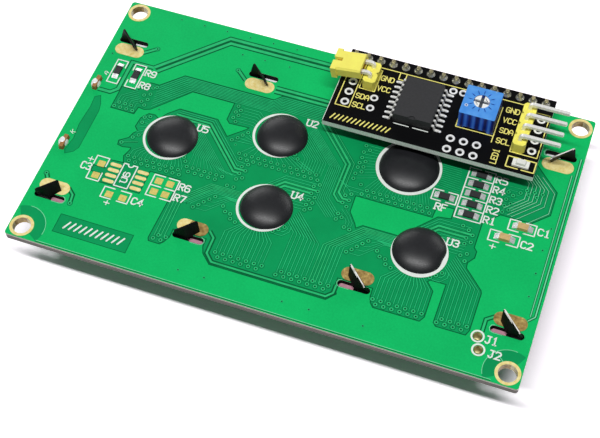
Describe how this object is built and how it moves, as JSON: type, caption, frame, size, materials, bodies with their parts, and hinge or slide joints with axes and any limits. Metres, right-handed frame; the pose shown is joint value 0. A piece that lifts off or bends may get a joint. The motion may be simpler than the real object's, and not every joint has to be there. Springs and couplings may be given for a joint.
{
  "type": "character display module",
  "caption": "Character display module lying on its display face, with a serial adapter board, a contrast trimmer and a shunt cap on its back.",
  "frame": {"origin": "middle of the bezel's front face, on the surface that the module lies on", "axes": "+Z out of the back of the display board, +X along its long side, towards the serial pins, +Y towards the row of header pins"},
  "size_m": [0.098, 0.06, 0.0205],
  "materials": {
    "green_board": "green solder mask on fibreglass board",
    "black_board": "black solder mask on fibreglass board",
    "gold_land": "gold flash on copper",
    "bezel_paint": "satin black paint on steel",
    "display_film": "blue polariser film",
    "rear_film": "grey polariser film",
    "cell_glass": "clear cell glass",
    "pink_silicone": "pink silicone contact strip",
    "white_tray": "white moulded backlight tray",
    "white_film": "white film",
    "clear_guide": "clear acrylic light guide",
    "phenolic_strip": "brown phenolic board",
    "lamp_white": "pale lamp chips",
    "solder": "bright tin solder",
    "black_resin": "black chip resin",
    "black_chip": "black chip resistor with tinned ends",
    "beige_chip": "beige chip capacitor with tinned ends",
    "chip_body": "black moulded chip package",
    "tinned_lead": "tinned leads",
    "gold_pin": "gold-flashed square pins",
    "black_insulator": "black moulded insulator",
    "yellow_plastic": "yellow moulded plastic",
    "blue_plastic": "blue moulded plastic",
    "white_rotor": "white moulded rotor",
    "ceramic_element": "white ceramic element",
    "spring_brass": "gold-flashed spring clip",
    "indicator_white": "pale lamp chip with a clear lens"
  },
  "bodies": {
    "module": {"display_board": "green_board", "board_lands": "gold_land", "bezel": "bezel_paint", "front_polariser": "display_film", "front_glass": "cell_glass", "rear_glass": "cell_glass", "rear_polariser": "rear_film", "contact_strip_lower": "pink_silicone", "contact_strip_upper": "pink_silicone", "backlight_tray": "white_tray", "diffuser_film": "white_film", "light_guide": "clear_guide", "reflector_film": "white_film", "lamp_strip": "phenolic_strip", "backlight_lamps": "lamp_white", "terminal_solder": "solder", "chip_cover_1": "black_resin", "chip_cover_2": "black_resin", "chip_cover_3": "black_resin", "chip_cover_4": "black_resin", "chip_cover_5": "black_resin", "resistor_1": "black_chip", "resistor_2": "black_chip", "resistor_3": "black_chip", "resistor_4": "black_chip", "resistor_5": "black_chip", "feedback_resistor": "black_chip", "lamp_resistor_1": "black_chip", "lamp_resistor_2": "black_chip", "capacitor_1": "beige_chip", "capacitor_2": "beige_chip", "chip_solder": "solder", "jumper_solder": "solder", "header_pins": "gold_pin", "header_spacer": "black_insulator", "adapter_pin_solder": "solder", "board_front_solder": "solder", "adapter_board": "black_board", "expander_body": "chip_body", "expander_leads": "tinned_lead", "trimmer_housing": "blue_plastic", "trimmer_element": "ceramic_element", "trimmer_leads": "tinned_lead", "bus_header": "yellow_plastic", "bus_pins": "gold_pin", "shunt_header": "yellow_plastic", "shunt_pins": "gold_pin", "indicator_lamp": "indicator_white", "hidden_resistors": "black_chip", "hidden_capacitor": "beige_chip", "backlight_transistor": "chip_body", "tail_solder": "solder"},
    "trimmer_wheel": {"trimmer_rotor": "white_rotor"},
    "shunt": {"shunt_cap": "yellow_plastic", "shunt_clip": "spring_brass"}
  },
  "joints": [
    {"name": "trimmer_turn", "type": "hinge", "parent": "module", "child": "trimmer_wheel", "pos_m": [0.02775, 0.0209, 0.0189], "axis": [0, 0, 1], "range_deg": [-120, 120]},
    {"name": "shunt_pull", "type": "slide", "parent": "module", "child": "shunt", "axis": [-0.9877, 0, -0.1564], "range_m": [0, 0.0048]}
  ]
}
